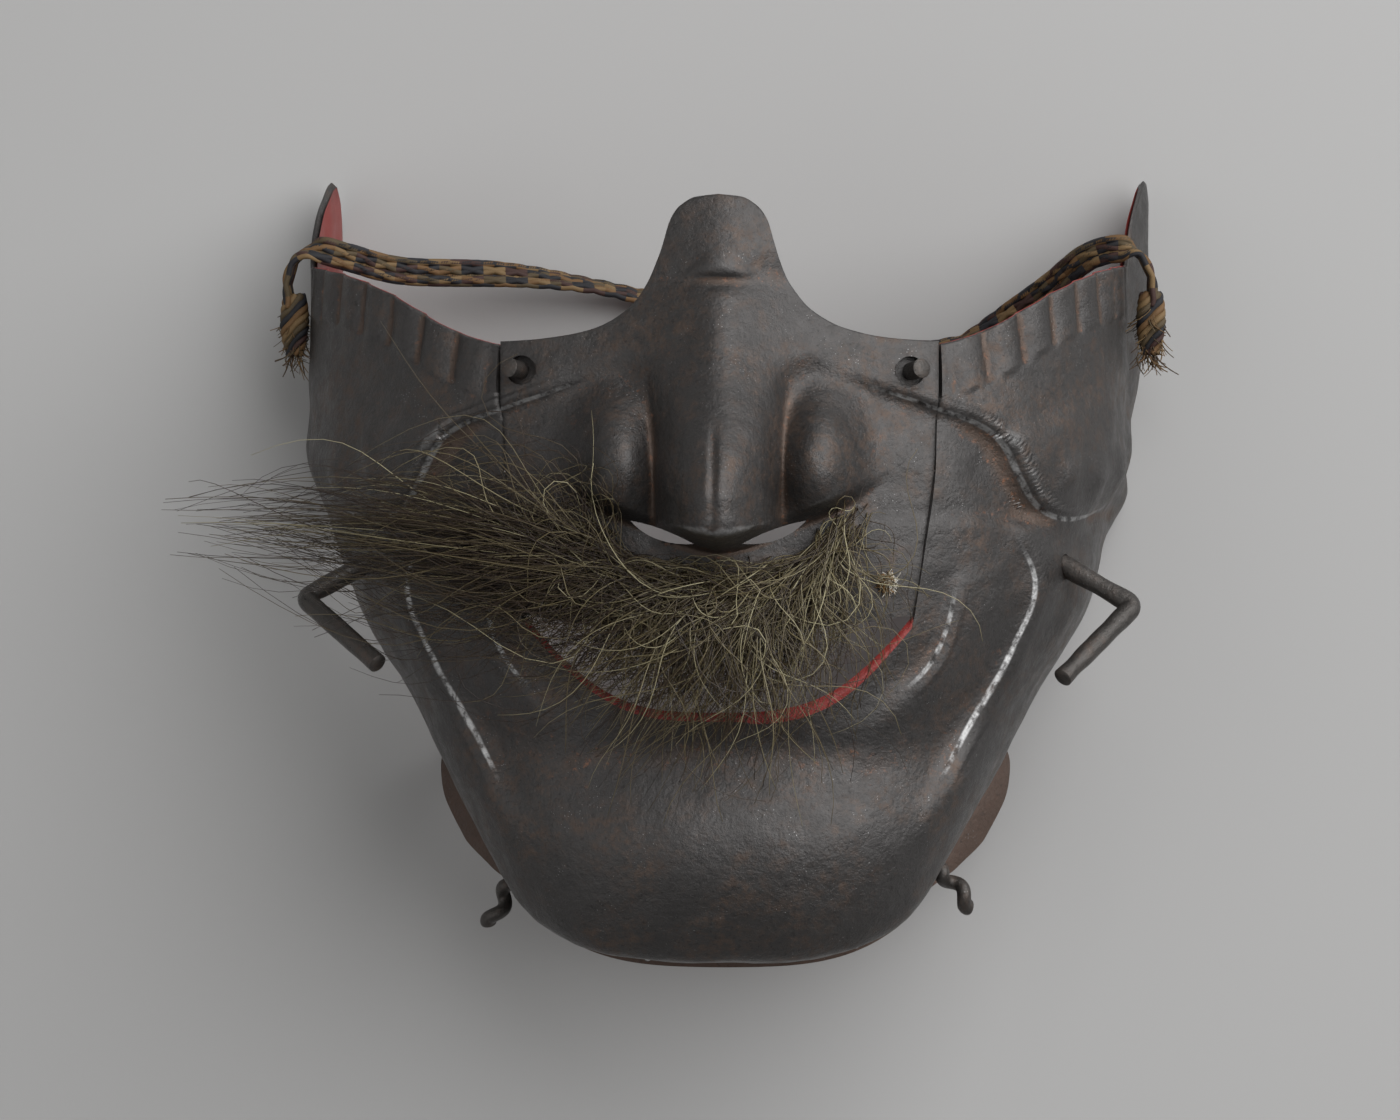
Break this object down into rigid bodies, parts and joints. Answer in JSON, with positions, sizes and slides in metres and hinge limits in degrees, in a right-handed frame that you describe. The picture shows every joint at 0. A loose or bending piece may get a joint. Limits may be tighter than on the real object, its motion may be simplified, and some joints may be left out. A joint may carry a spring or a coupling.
{
  "type": "samurai face guard",
  "caption": "Half mask of forged iron with a hooked-on nose plate, cheek hooks, chin pegs, a throat collar, a hair moustache and a braided tie cord.",
  "frame": {"origin": "centre of the bounding box of everything but the cord, on the surface it lies on", "axes": "+X towards the viewer's right, +Y up the face, +Z out of the face"},
  "size_m": [0.1986, 0.1642, 0.1144],
  "materials": {
    "iron": "satin, forged and patinated, lacquered red inside",
    "russet": "satin russet patina",
    "rod": "satin, dark",
    "hair": "matte animal hair",
    "plug": "matte",
    "silk": "matte braided silk, gold brown with dark blue and green"
  },
  "bodies": {
    "root": {"face_shell": "iron", "nose_plate": "iron", "throat_flange": "russet", "cheek_hook_left": "rod", "cheek_hook_right": "rod", "chin_peg_left": "rod", "chin_peg_right": "rod", "nose_stud_left": "rod", "nose_stud_right": "rod", "hair_plug_right": "plug", "moustache": "hair", "cord": "silk", "cord_knot_left": "silk", "cord_knot_right": "silk"}
  },
  "joints": []
}
